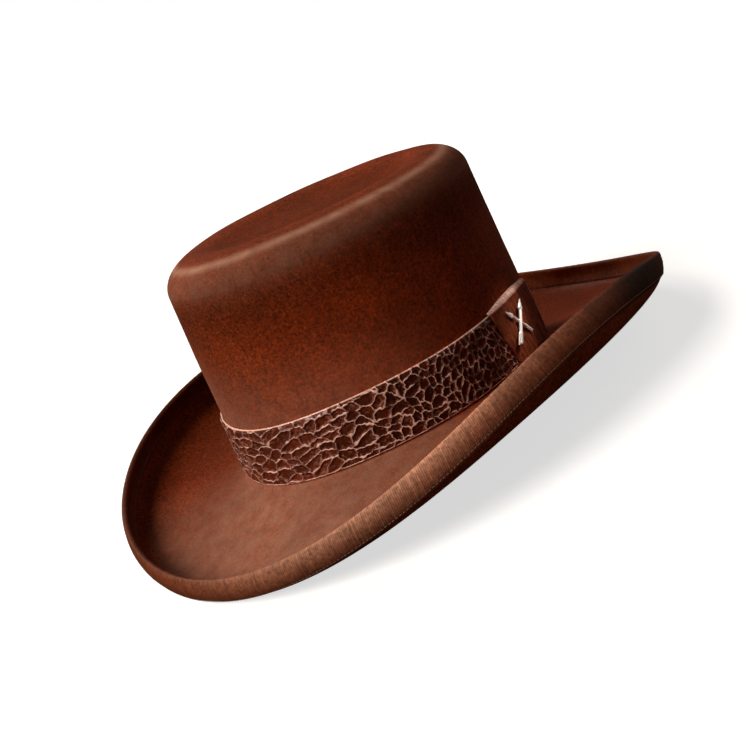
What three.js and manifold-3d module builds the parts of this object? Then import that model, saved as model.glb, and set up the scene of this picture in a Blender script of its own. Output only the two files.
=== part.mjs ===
// A brown felt hat: a tall crown with a rounded, slightly dished top, a brim that dips front and
// back and rolls up all round, a ribbon bound over its edge, an embossed leather band, a suede
// wrap round the band on the wearer's left, and a pin of two crossed arrows on the wrap.
// Millimetres, +Z up, -Y to the front and +X to the wearer's left. The origin is the middle of
// the hat seen from above, on the surface that the brim rests on.

import * as THREE from "three";
import { mergeVertices } from "three/addons/utils/BufferGeometryUtils.js";
import Module from "manifold-3d";

// Crown, outside sizes
const crownLength = 202; // front to back at the break, where the brim begins
const crownWidth = 173; // side to side at the break
const crownTopLength = 193; // front to back below the rounded top edge
const crownTopWidth = 165; // side to side there
const crownHeight = 125; // from the mean height of the break to the top
const crownLean = 1.5; // how far the top is set towards the back
const crownTopTilt = 1.8; // degrees that the top rises towards the front
const crownEdgeRun = 21; // how far the rounded top edge reaches in
const crownEdgeDrop = 16; // how far it reaches down
const crownCrest = 105; // degrees that the rounded edge turns, so that it leads into the hollow
const crownDish = 4.5; // depth of the hollow in the top
const dishSlope = 0.5; // share of the top's radius over which the hollow goes down

// Felt and brim
const feltWall = 2;
const brimWidth = 88; // along the felt, from the break to the rim
const breakFillet = 3; // reach of the curve between crown and brim
const brimLiftPower = 1.5; // how late the brim's slope turns from its dip to its lift
const restPress = 1; // how far the brim is pressed flat where it rests
const clearance = 0.3; // between one piece and the next

// Ribbon bound over the rim
const bindingWidth = 11.5;
const bindingWall = 0.7;

// Leather band
const bandHeight = 33;
const bandWall = 1.6;
const bandLift = 1.5; // its lower edge over the break
const bandEndGap = 0.8; // between its two ends, under the wrap

// Suede wrap
const wrapAngle = 110; // degrees from the front to the middle of the wrap
const wrapWidth = 48;
const wrapWall = 1.3;
const wrapBead = 3.4; // thickness of its rolled upper edge
const wrapBeadEnd = 0.6; // share of that thickness left at the wrap's two sides
const wrapFoldDepth = 0.5;
const wrapFolds = 7;
const wrapFoldRows = [0.3, 0.65]; // shares of bandHeight between which the folds are deepest

// Arrow pin
const pinForward = 6.5; // from the middle of the wrap towards the front
const pinHeight = 20.5; // its middle over the lower edge of the band
const arrowLength = 26;
const arrowAngle = 41; // degrees that each arrow leans from upright
const arrowShaft = 1.7;
const headLength = 6.2;
const headWidth = 4.4;
const fletchLength = 7.5;
const fletchWidth = 3.4;
const fletchStagger = 0.6; // how far the one vane is set forward and the other back
const postReach = 1.2; // the hidden post behind the crossing

// Sections of the brim from the front round to the back. rise is the height of the break over its
// mean, width the length of the felt to the rim and curlWidth the part of it that rolls up, all as
// shares of brimWidth. dip and lift are the slopes at the break and before the roll, and curl is
// the turn of the roll, in degrees.
const brimSections = [
  { at: "front", rise: 0.035, width: 0.96, dip: -32, lift: 13, curl: 95, curlWidth: 0.22 },
  { at: "front quarter", rise: 0.058, width: 1.01, dip: -14, lift: 24, curl: 89, curlWidth: 0.25 },
  { at: "side", rise: 0.045, width: 1.01, dip: -4, lift: 55, curl: 83, curlWidth: 0.3 },
  { at: "back quarter", rise: -0.03, width: 0.96, dip: -3, lift: 21, curl: 69, curlWidth: 0.26 },
  { at: "back", rise: -0.18, width: 0.89, dip: -7, lift: 13, curl: 74, curlWidth: 0.22 },
];

// How closely the faces follow the curves. Rows of the brim are shares of the way from the fillet
// to the ribbon, rows of the side shares of its height, rows of the edge shares of its turn and
// rows of the top shares of its radius.
const columnDegrees = 5;
const columns = Math.round(360 / columnDegrees);
const slopeSteps = 64;
const boundRows = 3;
const brimRows = [0.93, 0.86, 0.78, 0.68, 0.55, 0.4, 0.24, 0.1];
const sideRows = [0.35, 0.7];
const edgeRows = [0, 0.28, 0.55, 0.8, 1];
const topRows = [0.8, 0.55, 0.28];
const beadTurns = [-15, 35, 90, 145, 200];
const roundSides = 8;
const shaftSteps = 4;

const degrees = Math.PI / 180;
const smooth = (x) => THREE.MathUtils.smoothstep(x, 0, 1);

/** A column of the section table at angle phi: a cosine series through the five stations. */
function aroundHat(column, phi) {
  const last = brimSections.length - 1;
  let value = 0;
  for (let k = 0; k <= last; k += 1) {
    let weight = 0;
    brimSections.forEach((section, j) => {
      const share = j === 0 || j === last ? 0.5 : 1;
      weight += (share * section[column] * Math.cos((Math.PI * j * k) / last) * 2) / last;
    });
    value += (k === 0 || k === last ? 0.5 : 1) * weight * Math.cos(k * phi);
  }
  return value;
}

/** A point of an oval in plan and the oval's outward direction there; phi starts at the front. */
function ovalAt(length, width, setBack, phi) {
  const x = (width / 2) * Math.sin(phi);
  const y = (-length / 2) * Math.cos(phi) + setBack;
  const out = new THREE.Vector3(length * Math.sin(phi), -width * Math.cos(phi), 0).normalize();
  return { x, y, out };
}

const breakOval = (phi) => ovalAt(crownLength, crownWidth, 0, phi);
const topOval = (phi) => ovalAt(crownTopLength, crownTopWidth, crownLean, phi);
const breakHeight = (phi) => brimWidth * aroundHat("rise", phi);
const topHeight = (y) => crownHeight - y * Math.tan(crownTopTilt * degrees);

/** Slope of the brim at the distance along it: it lifts steadily, and then rolls up at the rim. */
function brimSlope(section, along) {
  const lifted = (along / section.width) ** brimLiftPower;
  const rolled = smooth((along - section.width + section.curlWidth) / section.curlWidth);
  return (section.dip + (section.lift - section.dip) * lifted + section.curl * rolled) * degrees;
}

/** The brim's section at phi as a function of the distance along the felt and the height off it. */
function brimSection(phi) {
  const { x, y, out } = breakOval(phi);
  const section = {
    width: brimWidth * aroundHat("width", phi),
    curlWidth: brimWidth * aroundHat("curlWidth", phi),
    dip: aroundHat("dip", phi),
    lift: aroundHat("lift", phi),
    curl: aroundHat("curl", phi),
  };
  const step = section.width / slopeSteps;
  const runs = [0];
  const rises = [breakHeight(phi)];
  for (let k = 0; k < slopeSteps; k += 1) {
    const slope = brimSlope(section, (k + 0.5) * step);
    runs.push(runs[k] + Math.cos(slope) * step);
    rises.push(rises[k] + Math.sin(slope) * step);
  }
  const at = (along, off) => {
    const k = Math.min(Math.floor(along / step), slopeSteps - 1);
    const part = along / step - k;
    const slope = brimSlope(section, Math.min(along, section.width));
    const run = runs[k] + (runs[k + 1] - runs[k]) * part - off * Math.sin(slope);
    const rise = rises[k] + (rises[k + 1] - rises[k]) * part + off * Math.cos(slope);
    return new THREE.Vector3(x + out.x * run, y + out.y * run, rise);
  };
  return { width: section.width, at };
}

/** A point over the crown's side: its height over the break and its distance off the felt. */
function onCrown(phi, height, off) {
  const base = breakOval(phi);
  const top = topOval(phi);
  const up = height / (topHeight(top.y) - crownEdgeDrop - breakHeight(phi));
  return new THREE.Vector3(
    base.x + (top.x - base.x) * up + base.out.x * off,
    base.y + (top.y - base.y) * up + base.out.y * off,
    breakHeight(phi) + height,
  );
}

/** How far the fillet at the break stands off the crown at a height over the break. */
function filletReach(height) {
  const down = Math.max(0, 1 - Math.sqrt(height / breakFillet));
  return breakFillet * down * down;
}

/** Rows of the felt's upper face at phi, from the rim to the crown's top, and the same rows one
 * wall deeper. */
function feltRows(phi) {
  const brim = brimSection(phi);
  const upper = [];
  const lower = [];
  const add = (point, normal) => {
    upper.push(point);
    lower.push(point.clone().addScaledVector(normal, -feltWall));
  };
  const addBrim = (along) => {
    upper.push(brim.at(along, 0));
    lower.push(brim.at(along, -feltWall));
  };
  for (let k = 0; k <= boundRows; k += 1) {
    addBrim(brim.width - (bindingWidth * k) / boundRows);
  }
  const flat = brim.width - bindingWidth - breakFillet;
  for (const share of brimRows) {
    addBrim(breakFillet + flat * share);
  }
  const { out } = breakOval(phi);
  const corner = onCrown(phi, 0, 0);
  const brimEnd = brim.at(breakFillet, 0);
  const crownEnd = onCrown(phi, breakFillet, 0);
  const curve = new THREE.QuadraticBezierCurve3(brimEnd, corner, crownEnd);
  for (const t of [0, 0.5, 1]) {
    const way = curve.getTangent(t);
    const normal = new THREE.Vector3(out.x * way.z, out.y * way.z, -way.dot(out)).normalize();
    add(curve.getPoint(t), normal);
  }
  const top = topOval(phi);
  const sideHeight = topHeight(top.y) - crownEdgeDrop - breakHeight(phi);
  for (const share of sideRows) {
    add(onCrown(phi, sideHeight * share, 0), out);
  }
  const edge = (turn) =>
    new THREE.Vector3(
      top.x - top.out.x * crownEdgeRun * (1 - Math.cos(turn)),
      top.y - top.out.y * crownEdgeRun * (1 - Math.cos(turn)),
      topHeight(top.y) - crownEdgeDrop * (1 - Math.sin(turn)),
    );
  for (const share of edgeRows) {
    const turn = crownCrest * degrees * share;
    const normal = top.out.clone().multiplyScalar(Math.cos(turn));
    normal.z = Math.sin(turn);
    add(edge(turn), normal);
  }
  const inner = edge(crownCrest * degrees);
  for (const share of topRows) {
    add(topPoint(inner, share), new THREE.Vector3(0, 0, 1));
  }
  return { upper, lower };
}

/** A point of the dished top: share runs from 0 in the middle to 1 at the rounded edge. */
function topPoint(edge, share) {
  const x = edge.x * share;
  const y = crownLean + (edge.y - crownLean) * share;
  const rim = topHeight(y) + (edge.z - topHeight(edge.y)) * share;
  const inward = Math.min((1 - share) / dishSlope, 1);
  return new THREE.Vector3(x, y, rim - crownDish * Math.sin((inward * Math.PI) / 2));
}

/** A geometry from points and triangles that share them. */
function closedBody(points, triangles) {
  const geometry = new THREE.BufferGeometry();
  geometry.setFromPoints(points);
  geometry.setIndex(triangles);
  geometry.computeVertexNormals();
  return geometry;
}

/** The felt: an upper and a lower sheet, joined at the rim and each closed by a middle point. */
function feltGeometry(floor) {
  const phis = Array.from({ length: columns }, (_, j) => (2 * Math.PI * j) / columns);
  const sheets = phis.map(feltRows);
  const rows = sheets[0].upper.length;
  const points = [];
  for (const sheet of sheets) {
    for (const point of sheet.upper) {
      points.push(point.setZ(Math.max(point.z, floor + feltWall)));
    }
    for (const point of sheet.lower) {
      points.push(point.setZ(Math.max(point.z, floor)));
    }
  }
  const middle = topPoint(new THREE.Vector3(0, crownLean, topHeight(crownLean)), 0);
  points.push(middle, middle.clone().setZ(middle.z - feltWall));
  const upperAt = (i, j) => (j % columns) * rows * 2 + i;
  const lowerAt = (i, j) => upperAt(i, j) + rows;
  const upperMiddle = points.length - 2;
  const triangles = [];
  for (let j = 0; j < columns; j += 1) {
    for (let i = 0; i < rows - 1; i += 1) {
      const [a, b, c, d] = [upperAt(i, j), upperAt(i, j + 1), upperAt(i + 1, j + 1), upperAt(i + 1, j)];
      triangles.push(a, b, c, a, c, d);
      triangles.push(a + rows, c + rows, b + rows, a + rows, d + rows, c + rows);
    }
    const last = rows - 1;
    triangles.push(upperAt(last, j), upperAt(last, j + 1), upperMiddle);
    triangles.push(lowerAt(last, j + 1), lowerAt(last, j), upperMiddle + 1);
    triangles.push(upperAt(0, j), lowerAt(0, j), lowerAt(0, j + 1));
    triangles.push(upperAt(0, j), lowerAt(0, j + 1), upperAt(0, j + 1));
  }
  return closedBody(points, triangles);
}

/** The height at which the brim is pressed flat, from its lowest points at the front and back. */
function floorHeight() {
  const lowest = { front: Infinity, back: Infinity };
  for (let j = 0; j < columns; j += 1) {
    const phi = (2 * Math.PI * j) / columns;
    const end = Math.cos(phi) > 0 ? "front" : "back";
    for (const point of feltRows(phi).lower) {
      lowest[end] = Math.min(lowest[end], point.z);
    }
  }
  return Math.max(lowest.front, lowest.back) + restPress;
}

/** A body carried round the hat: rings of points, each listed anticlockwise with out to the right
 * and up to the top. An open one gets flat ends, cut from its first section's outline. */
function carriedBody(rings, closed, outline) {
  const size = rings[0].length;
  const triangles = [];
  const spans = closed ? rings.length : rings.length - 1;
  for (let j = 0; j < spans; j += 1) {
    const here = j * size;
    const next = ((j + 1) % rings.length) * size;
    for (let k = 0; k < size; k += 1) {
      const after = (k + 1) % size;
      triangles.push(here + k, next + k, next + after, here + k, next + after, here + after);
    }
  }
  if (!closed) {
    const end = (rings.length - 1) * size;
    for (const [a, b, c] of THREE.ShapeUtils.triangulateShape(outline, [])) {
      triangles.push(a, b, c, end + a, end + c, end + b);
    }
  }
  return closedBody(rings.flat(), triangles);
}

/** The ribbon: a U over the rim, on both faces of the felt. */
function bindingGeometry() {
  const rings = [];
  const inside = clearance;
  const outside = clearance + bindingWall;
  for (let j = 0; j < columns; j += 1) {
    const brim = brimSection((2 * Math.PI * j) / columns);
    const rowsOut = [];
    for (let k = boundRows; k >= 0; k -= 1) {
      rowsOut.push(brim.width - (bindingWidth * k) / boundRows);
    }
    const rowsIn = [...rowsOut].reverse();
    const rim = brim.width;
    rings.push([
      ...rowsIn.map((along) => brim.at(along, outside)),
      ...rowsOut.map((along) => brim.at(along, inside)),
      brim.at(rim + inside, -feltWall / 2),
      ...rowsIn.map((along) => brim.at(along, -feltWall - inside)),
      ...rowsOut.map((along) => brim.at(along, -feltWall - outside)),
      brim.at(rim + outside, -feltWall),
      brim.at(rim + outside, 0),
    ]);
  }
  return carriedBody(rings, true);
}

/** Angles from one angle to another, with every column of the felt between them. */
function columnAngles(from, to) {
  const step = 360 / columns;
  const angles = [from];
  for (let angle = Math.ceil(from / step) * step; angle < to; angle += step) {
    if (angle > from) {
      angles.push(angle);
    }
  }
  angles.push(to);
  return angles.map((angle) => angle * degrees);
}

/** Degrees that a length takes up along the crown's side near an angle. */
function lengthInDegrees(length, angle) {
  const phi = angle * degrees;
  const perRadian = Math.hypot((crownWidth / 2) * Math.cos(phi), (crownLength / 2) * Math.sin(phi));
  return length / perRadian / degrees;
}

/** The leather band: one strip round the crown, with its two ends under the wrap. */
function bandGeometry() {
  const halfGap = lengthInDegrees(bandEndGap / 2, wrapAngle);
  const low = bandLift;
  const bend = bandLift + breakFillet / 2;
  const high = bandLift + bandHeight;
  const outline = [
    [clearance + filletReach(low), low],
    [clearance + filletReach(low) + bandWall, low],
    [clearance + filletReach(bend) + bandWall, bend],
    [clearance + bandWall, high],
    [clearance, high],
    [clearance + filletReach(bend), bend],
  ].map(([off, height]) => new THREE.Vector2(off, height));
  const rings = columnAngles(wrapAngle + halfGap, wrapAngle + 360 - halfGap).map((phi) =>
    outline.map(({ x: off, y: height }) => onCrown(phi, height, off)),
  );
  return carriedBody(rings, false, outline);
}

const wrapInside = clearance + bandWall + clearance;
const wrapOutside = wrapInside + wrapWall;

/** The suede wrap: a wall over the band with soft upright folds, and a rolled upper edge that
 * turns over the band's top towards the felt. */
function wrapGeometry() {
  const low = bandLift;
  const high = bandLift + bandHeight + clearance;
  const start = filletReach(low) + wrapInside;
  const beadRadius = wrapBead / 2;
  const beadOut = clearance + beadRadius;
  const outlineAt = (share) => {
    const fade = Math.sin(Math.PI * share) ** 0.5;
    const fold = wrapFoldDepth * Math.sin(2 * Math.PI * wrapFolds * share) * fade;
    const bead = beadRadius * (wrapBeadEnd + (1 - wrapBeadEnd) * fade);
    const points = [
      [start, low],
      [start + wrapWall, low],
    ];
    for (const row of wrapFoldRows) {
      points.push([wrapOutside + fold, low + bandHeight * row]);
    }
    points.push([wrapOutside + fold / 2, high - wrapWall]);
    for (const turn of beadTurns) {
      const out = Math.cos(turn * degrees);
      const up = 1 + Math.sin(turn * degrees);
      points.push([beadOut + bead * out, high + bead * up]);
    }
    points.push([wrapInside, high], [wrapInside, low + bandHeight * wrapFoldRows[0]]);
    return points.map(([off, height]) => new THREE.Vector2(off, height));
  };
  const half = lengthInDegrees(wrapWidth / 2, wrapAngle);
  const steps = wrapFolds * 4;
  const rings = [];
  for (let j = 0; j <= steps; j += 1) {
    const phi = (wrapAngle - half + (2 * half * j) / steps) * degrees;
    const section = outlineAt(j / steps);
    rings.push(section.map(({ x: off, y: height }) => onCrown(phi, height, off)));
  }
  return carriedBody(rings, false, outlineAt(0));
}

const wasm = await Module();
wasm.setup();

/** A three.js geometry as a solid that can be joined to another. */
function solidFrom(geometry) {
  geometry.deleteAttribute("normal");
  geometry.deleteAttribute("uv");
  const merged = mergeVertices(geometry, 1e-4);
  return new wasm.Manifold(
    new wasm.Mesh({
      numProp: 3,
      vertProperties: new Float32Array(merged.attributes.position.array),
      triVerts: new Uint32Array(merged.index.array),
    }),
  );
}

/** One arrow lying along +Y with its point up, its middle at the origin and its back at z = 0. */
function arrowSolid(height) {
  const middle = height + arrowShaft / 2;
  const shaftLength = arrowLength - headLength / 2;
  const radius = arrowShaft / 2;
  const shaft = new THREE.CylinderGeometry(radius, radius, shaftLength, roundSides, shaftSteps);
  shaft.translate(0, -headLength / 4, middle);
  const head = new THREE.ConeGeometry(headWidth / Math.SQRT2, headLength, 4);
  head.rotateY(Math.PI / 4);
  head.scale(1, 1, arrowShaft / headWidth);
  head.translate(0, (arrowLength - headLength) / 2, middle);
  let arrow = solidFrom(shaft).add(solidFrom(head));
  const inner = radius / 2;
  const vane = fletchWidth / 2 - inner;
  for (const side of [-1, 1]) {
    const bar = new THREE.BoxGeometry(vane, fletchLength, radius);
    const along = (fletchLength - arrowLength) / 2 + side * fletchStagger;
    bar.translate(side * (inner + vane / 2), along, middle);
    arrow = arrow.add(solidFrom(bar));
  }
  return arrow;
}

/** The pin: two crossed arrows and the hidden post, joined flat and then bent round the wrap. */
function pinGeometry() {
  const front = arrowSolid(arrowShaft / 2).rotate([0, 0, -arrowAngle]);
  const back = arrowSolid(0).rotate([0, 0, arrowAngle]);
  const post = new THREE.CylinderGeometry(arrowShaft / 2, arrowShaft / 2, postReach, roundSides);
  post.rotateX(Math.PI / 2);
  post.translate(0, 0, postReach / 2);
  const flat = front.add(back).add(solidFrom(post)).getMesh();
  const pinAngle = wrapAngle - lengthInDegrees(pinForward, wrapAngle);
  const seat = wrapOutside + wrapFoldDepth + clearance;
  const points = [];
  for (let k = 0; k < flat.vertProperties.length; k += 3) {
    const [x, y, z] = flat.vertProperties.subarray(k, k + 3);
    const phi = (pinAngle + lengthInDegrees(x, pinAngle)) * degrees;
    points.push(onCrown(phi, bandLift + pinHeight + y, seat + z));
  }
  return closedBody(points, Array.from(flat.triVerts));
}

/** A named piece with its finish. */
function piece(name, geometry, color, roughness, metalness = 0) {
  const material = new THREE.MeshStandardMaterial({ color, roughness, metalness });
  const mesh = new THREE.Mesh(geometry, material);
  mesh.name = name;
  return mesh;
}

const floor = floorHeight();
const hat = new THREE.Group();
hat.add(piece("felt_body", feltGeometry(floor), 0x6e3626, 0.9));
hat.add(piece("edge_binding", bindingGeometry(), 0x7a4534, 0.7));
hat.add(piece("hat_band", bandGeometry(), 0x3a0f0b, 0.35));
hat.add(piece("band_wrap", wrapGeometry(), 0x5a2618, 0.95));
hat.add(piece("arrow_pin", pinGeometry(), 0xe6dcd0, 0.25, 1));

const middle = new THREE.Box3().setFromObject(hat).getCenter(new THREE.Vector3());
hat.position.set(-middle.x, -middle.y, -floor);

const part = new THREE.Group();
part.add(hat);

export default part;
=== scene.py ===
# %% [markdown]
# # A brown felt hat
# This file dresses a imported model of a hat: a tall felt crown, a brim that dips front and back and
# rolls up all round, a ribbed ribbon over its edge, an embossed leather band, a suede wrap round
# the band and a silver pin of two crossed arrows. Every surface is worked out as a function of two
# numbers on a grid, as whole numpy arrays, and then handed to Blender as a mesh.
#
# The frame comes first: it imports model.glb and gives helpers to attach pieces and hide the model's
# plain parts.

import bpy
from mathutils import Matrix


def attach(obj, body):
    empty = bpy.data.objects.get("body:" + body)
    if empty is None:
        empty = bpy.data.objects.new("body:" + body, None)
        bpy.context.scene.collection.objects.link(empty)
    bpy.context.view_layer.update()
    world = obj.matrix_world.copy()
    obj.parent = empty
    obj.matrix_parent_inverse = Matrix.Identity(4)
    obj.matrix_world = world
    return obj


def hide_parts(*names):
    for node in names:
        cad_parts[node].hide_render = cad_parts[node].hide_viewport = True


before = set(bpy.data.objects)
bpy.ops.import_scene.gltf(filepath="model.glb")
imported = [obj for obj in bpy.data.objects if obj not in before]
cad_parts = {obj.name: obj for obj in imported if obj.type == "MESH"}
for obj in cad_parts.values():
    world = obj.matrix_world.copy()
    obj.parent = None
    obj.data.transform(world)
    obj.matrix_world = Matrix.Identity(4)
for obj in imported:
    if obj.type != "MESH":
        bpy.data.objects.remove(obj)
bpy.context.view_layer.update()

# %% [markdown]
# ## The camera
# The photograph looks at the hat's front left quarter, a little from above, and the hat leans
# in it. The hat here stands upright, so the lean is a roll of the camera. Its axes are worked out
# from the three angles, which keeps the numbers readable, where three rotations by hand would not.

import bpy
import numpy as np
from mathutils import Matrix, Vector

MM = 0.001
view_azimuth, view_elevation, view_roll = np.radians([52.35, 17.06, 25.17])
view_distance = 655.5 * MM
view_target = Vector((0, 0, 42.8)) * MM

back = Vector((
    np.sin(view_azimuth) * np.cos(view_elevation),
    -np.cos(view_azimuth) * np.cos(view_elevation),
    np.sin(view_elevation),
))
level = Vector((np.cos(view_azimuth), np.sin(view_azimuth), 0))
upright = back.cross(level)
right = level * np.cos(view_roll) - upright * np.sin(view_roll)
above = level * np.sin(view_roll) + upright * np.cos(view_roll)


def add_object(name, data):
    """A new object in the scene for a mesh, a camera or a lamp."""
    thing = bpy.data.objects.new(name, data)
    bpy.context.collection.objects.link(thing)
    return thing


camera = add_object("camera", bpy.data.cameras.new("camera"))
camera.matrix_world = (
    Matrix.Translation(view_target + back * view_distance)
    @ Matrix((right, above, back)).transposed().to_4x4()
)
camera.data.lens = 53.9
camera.data.shift_x, camera.data.shift_y = -0.0073, -0.0207
camera.data.clip_start = 0.02
bpy.context.scene.camera = camera
print("camera at", [round(value, 3) for value in camera.matrix_world.translation])

# %% [markdown]
# ## Helpers for meshes
# All the hat's pieces are grids of points. One helper gives the faces of a grid, which may close
# on itself in either direction, and one turns points and faces into an object. A closed shell
# holds a positive volume when its faces point outwards, so the helper measures the volume and
# turns the faces round if it is negative.

# %% Grids and meshes
def grid_faces(rows, columns, close_rows=False, close_columns=False):
    """Quads of a grid of points numbered row by row: each joins a point to the next one along its
    row and to the two beside them in the next row. A closed direction wraps round to its start."""
    r = np.arange(rows if close_rows else rows - 1)[:, None]
    c = np.arange(columns if close_columns else columns - 1)[None, :]
    r_next, c_next = (r + 1) % rows, (c + 1) % columns
    row, row_next = r * columns, r_next * columns
    corners = np.broadcast_arrays(row + c, row + c_next, row_next + c_next, row_next + c)
    return np.stack(corners, -1).reshape(-1, 4)


def capped_tube(rows, columns):
    """Faces of a tube whose rows close on themselves, and a cap on its first and its last row."""
    first = np.arange(columns)
    caps = np.stack([first[::-1], first + (rows - 1) * columns])
    return grid_faces(rows, columns, close_columns=True), caps


def shell_volume(points, faces):
    """Volume inside a closed shell: the sum over its faces, cut in two, of a . (b x c) / 6."""
    halves = [faces[:, [0, 1, 2]]]
    if faces.shape[1] == 4:
        halves.append(faces[:, [0, 2, 3]])
    a, b, c = np.moveaxis(points[np.concatenate(halves)], 1, 0)
    return np.einsum("ij,ij->i", a, np.cross(b, c)).sum() / 6


def make_piece(name, points, face_lists, attributes=None):
    """An object from points in millimetres and lists of faces, smooth, facing outwards, with one
    number per point for each named attribute. One that is the same along rows or columns is given
    as a single row or column."""
    grid = points.shape[:-1]
    points = points.reshape(-1, 3)
    if sum(shell_volume(points, faces) for faces in face_lists) < 0:
        face_lists = [faces[:, ::-1] for faces in face_lists]
    mesh = bpy.data.meshes.new(name)
    mesh.from_pydata(points * MM, [], [face for faces in face_lists for face in faces.tolist()])
    mesh.polygons.foreach_set("use_smooth", np.ones(len(mesh.polygons), bool))
    for label, values in (attributes or {}).items():
        layer = mesh.attributes.new(label, "FLOAT", "POINT")
        layer.data.foreach_set("value", np.broadcast_to(values, grid).astype(np.float32).ravel())
    mesh.update()
    piece = add_object(name, mesh)
    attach(piece, "root")
    triangles = sum(len(faces) * (faces.shape[1] - 2) for faces in face_lists)
    print(f"{name}: {len(points)} points, {triangles} triangles")
    return piece


def blend_in(x):
    """0 below 0, 1 above 1, and the smooth step 3x^2 - 2x^3 between."""
    x = np.clip(x, 0, 1)
    return x * x * (3 - 2 * x)


# %% [markdown]
# ## The hat's lines
# A hatter shapes felt over a wooden block. The block here is two ovals, one at the break, where
# crown meets brim, and a slightly smaller one at the top. The brim is described by its section at
# five places from front to back, and a cosine series makes every section between them, so the
# left and right sides are mirror images and there is no kink at the front.

# %% Sizes of the block and the brim, in millimetres
crown_length, crown_width = 202, 173
top_length, top_width = 193, 165
crown_height, crown_lean, top_tilt = 125, 1.5, np.radians(1.8)
edge_run, edge_drop, crest_turn = 21, 16, np.radians(105)
dish_depth, dish_slope = 4.5, 0.5
felt_wall, brim_width, lift_power, fillet = 2, 88, 1.5, 3
table_height = -19.655  # of the floor that the brim rests on, from the break's mean height
brim_sections = {
    "rise": [0.035, 0.058, 0.045, -0.03, -0.18],
    "width": [0.96, 1.01, 1.01, 0.96, 0.89],
    "dip": [-32, -14, -4, -3, -7],
    "lift": [13, 24, 55, 21, 13],
    "curl": [95, 89, 83, 69, 74],
    "curl_width": [0.22, 0.25, 0.3, 0.26, 0.22],
}


# %% Ovals, heights and the cosine series
def around(column, phi):
    """A column of the section table at the angle phi, 0 at the front: the cosine series
    c0/2 + c1 cos(phi) + ... through its five values."""
    values = np.array(brim_sections[column], float)
    last = len(values) - 1
    weight = np.ones(last + 1)
    weight[[0, -1]] = 0.5
    turns = np.arange(last + 1)
    series = 2 / last * np.cos(np.pi * np.outer(turns, turns) / last) @ (weight * values)
    return sum(weight[k] * series[k] * np.cos(k * phi) for k in turns)


def oval(length, width, set_back, phi):
    """x = width/2 sin(phi) and y = -length/2 cos(phi) + set_back, with the outward direction."""
    x, y = width / 2 * np.sin(phi), -length / 2 * np.cos(phi) + set_back
    out_x, out_y = length * np.sin(phi), -width * np.cos(phi)
    size = np.hypot(out_x, out_y)
    return x, y, out_x / size, out_y / size


def break_oval(phi):
    return oval(crown_length, crown_width, 0, phi)


def top_oval(phi):
    return oval(top_length, top_width, crown_lean, phi)


def break_height(phi):
    return brim_width * around("rise", phi)


def top_height(y):
    """The level of the crown's top, which rises towards the front."""
    return crown_height - y * np.tan(top_tilt)


def side_height(phi):
    """Height of the crown's side from the break to the start of its rounded edge."""
    return top_height(top_oval(phi)[1]) - edge_drop - break_height(phi)


def crown_point(phi, height, off):
    """A point over the crown's side: the straight line from the break oval to the top oval, at a
    height over the break, moved outwards by off."""
    x0, y0, out_x, out_y = break_oval(phi)
    x1, y1 = top_oval(phi)[:2]
    up = height / side_height(phi)
    parts = (x0 + (x1 - x0) * up + out_x * off, y0 + (y1 - y0) * up + out_y * off)
    return np.stack(np.broadcast_arrays(*parts, break_height(phi) + height), -1)


print("break rises", [round(float(break_height(a)), 1) for a in np.radians([0, 90, 180])], "mm")

# %% [markdown]
# ## The brim's section
# The felt's slope is the simplest thing to describe: it starts at the dip, grows to the lift, and
# in the last stretch turns up by the curl. The curve itself is the running sum of the slope's
# cosine and sine, which keeps the felt's length true, as on a real brim, whatever the roll does.

# %% A point of the brim
slope_steps = 128


def brim_slope(phi, along, width):
    """dip + (lift - dip)(along/width)^lift_power + curl x smooth step over the last curl_width."""
    dip, lift = around("dip", phi), around("lift", phi)
    curl_width = brim_width * around("curl_width", phi)
    rolled = blend_in((along - width + curl_width) / curl_width)
    grown = (along / width) ** lift_power
    return np.radians(dip + (lift - dip) * grown + around("curl", phi) * rolled)


def brim_point(phi, before_rim, off):
    """A point of the brim, at before_rim from the rim along the felt and at the height off over
    its upper face. phi is a column of angles, and the result has a row for each."""
    width = brim_width * around("width", phi)
    middles = (np.arange(slope_steps) + 0.5) / slope_steps * width
    slopes = brim_slope(phi, middles, width)
    start = np.zeros_like(width)
    runs = np.hstack([start, np.cumsum(np.cos(slopes), 1) * width / slope_steps])
    rises = np.hstack([start, np.cumsum(np.sin(slopes), 1) * width / slope_steps])
    along = np.broadcast_arrays(width - before_rim, phi)[0]
    position = along / width * slope_steps
    step = np.clip(position.astype(int), 0, slope_steps - 1)
    part = position - step

    def read(table):
        low, high = (np.take_along_axis(table, at, 1) for at in (step, step + 1))
        return low * (1 - part) + high * part

    slope = brim_slope(phi, np.minimum(along, width), width)
    x, y, out_x, out_y = break_oval(phi)
    run = read(runs) - off * np.sin(slope)
    rise = break_height(phi) + read(rises) + off * np.cos(slope)
    return np.stack(np.broadcast_arrays(x + out_x * run, y + out_y * run, rise), -1)


def place(points):
    """Moves points so that the hat rests on the floor, and presses flat what would go below it."""
    points = points - np.array([0, 0, table_height])
    points[..., 2] = np.maximum(points[..., 2], 0)
    return points


rim = brim_point(np.radians([[0], [90], [180]]), np.zeros((1, 1)), 0) - [0, 0, table_height]
print("rim at the front, side and back:", rim.round(1).tolist())
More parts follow.
